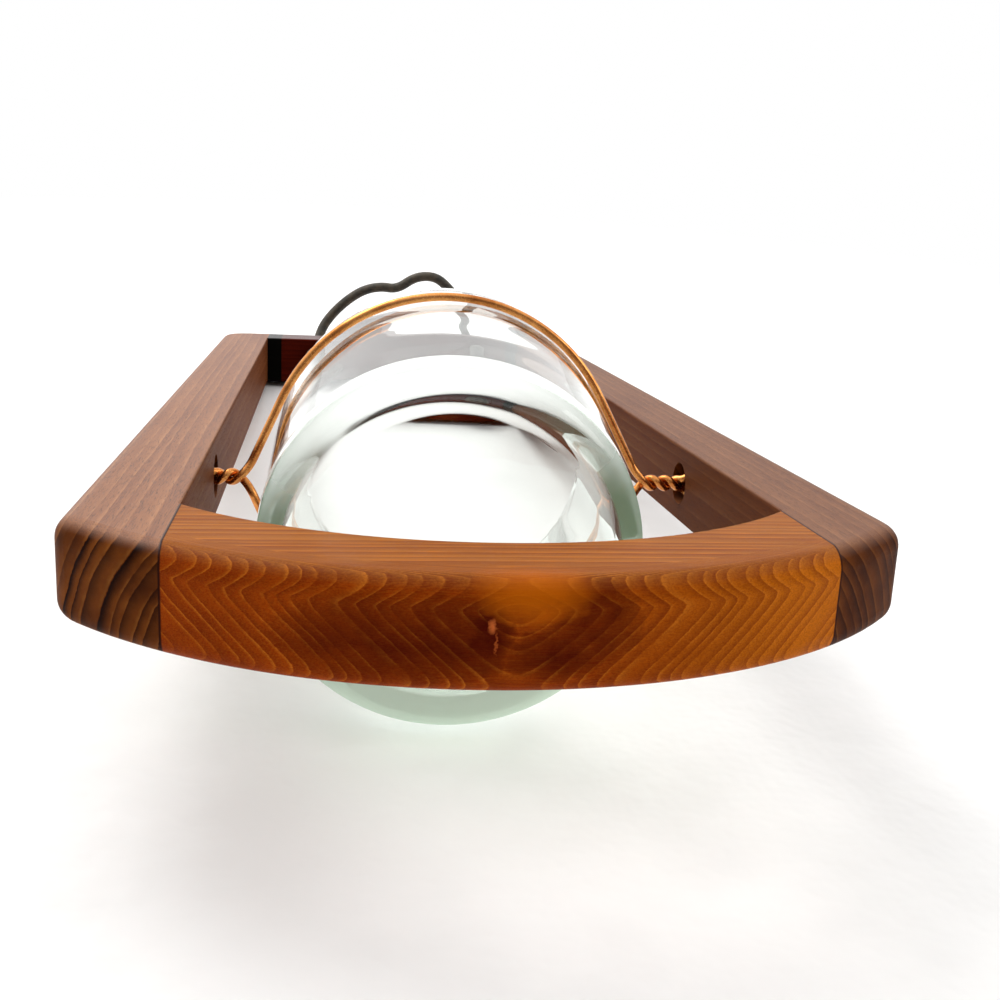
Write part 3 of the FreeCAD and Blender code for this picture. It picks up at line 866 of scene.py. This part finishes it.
# The lace with its loop, its ends in the head bar and the knots on them.
def addLace(material):
    diameter = lace["diameter"] * mm
    out = lean @ Vector((0, 1, 0))
    root = hinge + out * (lace["headBack"] * mm)
    exits = [root + Vector((side * lace["halfSpacing"] * mm, 0, 0)) for side in (-1, 1)]
    loop = addLoop(root, out, exits, material)

    axis = np.array(out)
    for word, side, place in (("Left", -1, exits[0]), ("Right", 1, exits[1])):
        stopper = word.lower() + "_lace_stopper"
        knotLow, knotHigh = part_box(stopper)
        knotCentre = (knotLow + knotHigh) / 2
        heldEnd = knotCentre - out * (lace["held"] * mm)
        held = tubeMesh("laceEnd" + word, np.linspace(heldEnd, place, 25), diameter / 2,
                        np.array((1.0, 0.0, 0.0)), material)
        knot = tubeMesh("laceKnot" + word, overhandKnot(knotCentre, axis, side),
                        lace["knotTube"] * mm, axis, material, closed=True)
        for piece in (held, knot):
            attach(piece, "frame")
        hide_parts(stopper)
    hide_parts("lace")
    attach(loop, "frame")
    length = splineLength(loop)
    print("lace loop", round(length, 4))


# camera: angles in degrees, its place from the hinge in millimetres
viewpoint = {
    "lens": 41.45,
    "sensor": 36,
    "nearest": 0.01,
    "pitch": 21.07,
    "yaw": 9.21,
    "roll": 4.07,
    "fromHinge": (-31.3, -265.7, 98.5)}


def addCamera():
    data = bpy.data.cameras.new("photoCamera")
    data.lens = viewpoint["lens"]
    data.sensor_width = viewpoint["sensor"]
    data.clip_start = viewpoint["nearest"]
    camera = bpy.data.objects.new("photoCamera", data)
    turn = (Matrix.Rotation(-math.radians(viewpoint["yaw"]), 4, "Z")
            @ Matrix.Rotation(math.radians(90 - viewpoint["pitch"]), 4, "X")
            @ Matrix.Rotation(math.radians(viewpoint["roll"]), 4, "Z"))
    place = hinge + Vector(viewpoint["fromHinge"]) * mm
    camera.matrix_world = Matrix.Translation(place) @ turn
    bpy.context.scene.collection.objects.link(camera)
    bpy.context.scene.camera = camera


# paper floor, "fade" being where it begins to be and is plain white, in metres
paperFloor = {
    "half": 3.0,
    "fade": (0.36, 0.8),
    "paper": (0.94, 0.935, 0.925, 1),
    "shade": (0.86, 0.857, 0.847, 1),
    "patches": 16.0,
    "creases": 26.0,
    "creaseStrength": 0.35,
    "creaseDepth": 4.0}


# Pale matte paper, slightly crumpled, which the camera sees as plain white far from the object.
def floorMaterial():
    material, tree = newMaterial("paleFloor")
    place = objectPlace(tree)
    # The grey patches are painted shade, as from the paper's crumples.
    patches = ramp(tree, noise(tree, place, paperFloor["patches"], 3.0), (0.45, 0.0), (0.75, 1.0))
    bump = put(tree, "Bump", {"Height": noise(tree, place, paperFloor["creases"], 4.0, 0.6),
                              "Strength": paperFloor["creaseStrength"],
                              "Distance": paperFloor["creaseDepth"] * mm})
    paper = put(tree, "BsdfPrincipled", {
        "Base Color": mixColour(tree, patches, paperFloor["paper"], paperFloor["shade"]),
        "Roughness": 0.9, "Specular IOR Level": 0.1, "Normal": bump.outputs[0]}).outputs[0]
    white = put(tree, "Emission", {"Color": (1, 1, 1, 1), "Strength": 1.0}).outputs[0]
    away = put(tree, "VectorMath", {0: place}, operation="LENGTH").outputs["Value"]
    far = mapRange(tree, away, *paperFloor["fade"])
    seen = math2(tree, "MULTIPLY", far, put(tree, "LightPath").outputs["Is Camera Ray"])
    finishMaterial(tree, put(tree, "MixShader", {0: seen, 1: paper, 2: white}).outputs[0])
    return material


def addFloor():
    half = paperFloor["half"]
    mesh = bpy.data.meshes.new("floor")
    mesh.from_pydata([(-half, -half, 0), (half, -half, 0), (half, half, 0), (-half, half, 0)], [],
                     [(0, 1, 2, 3)])
    mesh.materials.append(floorMaterial())
    floor = bpy.data.objects.new("floor", mesh)
    bpy.context.scene.collection.objects.link(floor)


# lamps, in metres and watts
lamps = {
    "key": {"place": (-0.4, 0.3, 0.8), "aim": (0, -0.05, 0.03), "size": (0.6, 0.5), "power": 4.0},
    "fill": {"place": (0.55, -0.2, 0.4), "aim": (0, -0.1, 0.05), "size": (0.25, 0.25), "power": 0.7}}


def addLight(name):
    lamp = lamps[name]
    data = bpy.data.lights.new(name, "AREA")
    data.shape = "RECTANGLE"
    data.size, data.size_y = lamp["size"]
    data.energy = lamp["power"]
    light = bpy.data.objects.new(name, data)
    light.location = lamp["place"]
    way = Vector(lamp["aim"]) - Vector(lamp["place"])
    light.rotation_euler = way.to_track_quat("-Z", "Y").to_euler()
    bpy.context.scene.collection.objects.link(light)


# surroundings: "bright" is how much light comes from the right, behind and above
surroundings = {
    "strength": 1.42,
    "bright": (-0.04, 0.60, 0.60),
    "range": (-0.35, 0.75),
    "whiteInGlass": 0.8,
    "whiteInCopper": 0.25}


# Bright overhead and behind, dim on the near side. The camera, and mostly the glass and partly
# the copper, see plain white.
def addWorld():
    world = bpy.data.worlds.new("studio")
    bpy.context.scene.world = world
    world.use_nodes = True
    tree = world.node_tree
    tree.nodes.clear()
    ray = put(tree, "LightPath").outputs
    x, y, z = separate(tree, put(tree, "TexCoord").outputs["Generated"])[:3]
    rightward, backward, upward = surroundings["bright"]
    reach = blend2(tree, 1.0, blend2(tree, upward, z, backward, y), rightward, x)
    share = mapRange(tree, reach, *surroundings["range"])
    sky = ramp(tree, share, (0.0, 0.05), (0.28, 0.16), (0.55, 0.75), (1.0, 1.0))
    sky = put(tree, "Background", {"Color": sky, "Strength": surroundings["strength"]}).outputs[0]
    white = put(tree, "Background", {"Color": (1, 1, 1, 1), "Strength": 1.0}).outputs[0]
    seen = blend2(tree, surroundings["whiteInGlass"], ray["Is Transmission Ray"],
                  surroundings["whiteInCopper"], ray["Is Glossy Ray"])
    seen = math2(tree, "ADD", seen, ray["Is Camera Ray"], clamp=True)
    mixed = put(tree, "MixShader", {0: seen, 1: sky, 2: white})
    out = tree.nodes.new("ShaderNodeOutputWorld")
    tree.links.new(mixed.outputs[0], out.inputs["Surface"])


# Give a CAD node its material.
def dress(node, material):
    mesh = nodes[node].data
    mesh.materials.clear()
    mesh.materials.append(material)


bpy.context.scene.view_settings.view_transform = "Standard"
addCamera()
addLace(leatherMaterial())
print("camera and lace")

addGlass(glassMaterial())
copper = copperMaterial()
dress("upper_hoop_wire", copper)
dress("lower_hoop_wire", copper)
print("glass and copper")

dress("left_rail", railWood("left"))
dress("right_rail", railWood("right"))
dress("foot_bar", footWood())
dress("head_bar", plainWood("headWood", headBar))
spacerWood = plainWood("spacerWood", spacers)
dowelWood = plainWood("dowelWood", dowels)
for name in nodes:
    if name.endswith("_spacer"):
        dress(name, spacerWood)
    if name.endswith("_dowel"):
        dress(name, dowelWood)
print("wood")

addFloor()
addWorld()
addLight("key")
addLight("fill")
print("floor and lights")
